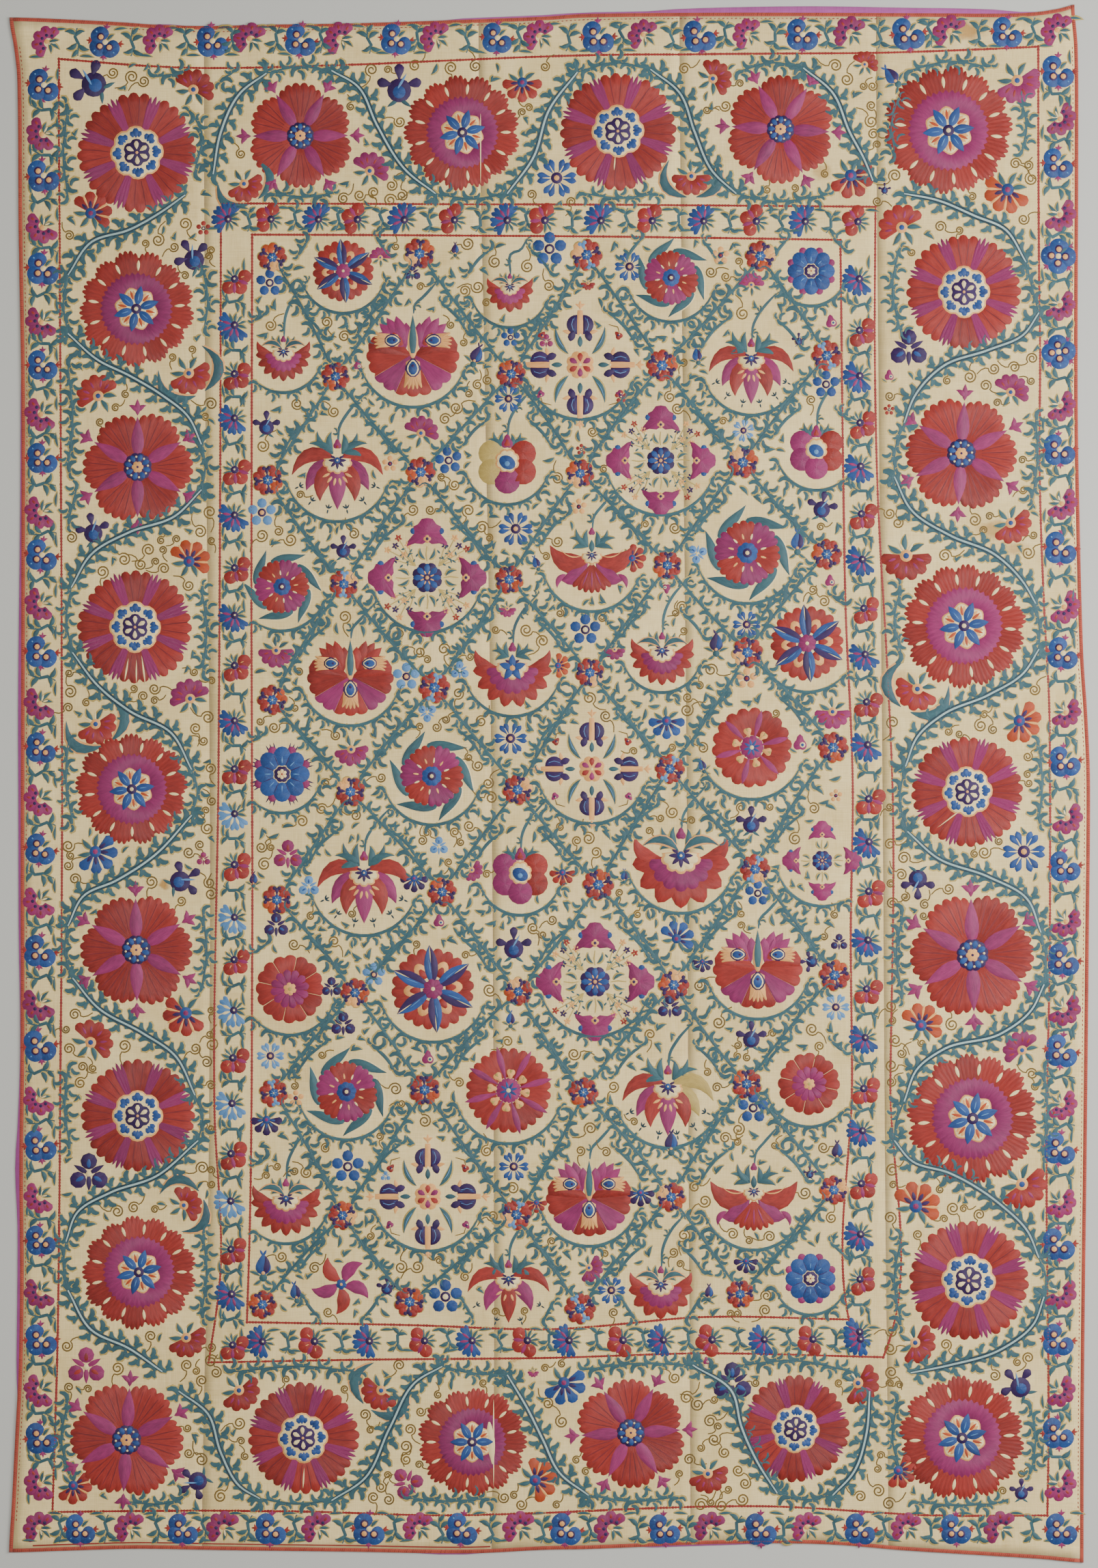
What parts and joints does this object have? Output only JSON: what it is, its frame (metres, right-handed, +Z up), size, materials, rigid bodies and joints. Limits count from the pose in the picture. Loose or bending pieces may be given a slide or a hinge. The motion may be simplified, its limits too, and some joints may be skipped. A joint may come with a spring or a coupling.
{
  "type": "suzani embroidered hanging",
  "caption": "Large cream cotton hanging of joined strips, embroidered all over with rosettes, flowers and leafy lattice, lined and edged with braid, lying flat.",
  "frame": {"origin": "middle of the outline, at the level on which the cloth lies", "axes": "+X across the strips, +Y along them towards the top edge, +Z up from the lining to the embroidered face"},
  "size_m": [1.6619, 2.3948, 0.0046],
  "materials": {
    "ground_cotton": "handwoven cream cotton, matt, with silk thread embroidery in madder red, magenta, blue, teal and ochre",
    "lining_cotton": "plain woven pink cotton, matt",
    "edge_braid": "narrow orange-red woven braid, matt"
  },
  "bodies": {
    "root": {"lining": "lining_cotton", "ground_1": "ground_cotton", "ground_2": "ground_cotton", "ground_3": "ground_cotton", "ground_4": "ground_cotton", "ground_5": "ground_cotton", "braid_left": "edge_braid", "braid_right": "edge_braid", "braid_top": "edge_braid", "braid_bottom": "edge_braid"}
  },
  "joints": []
}
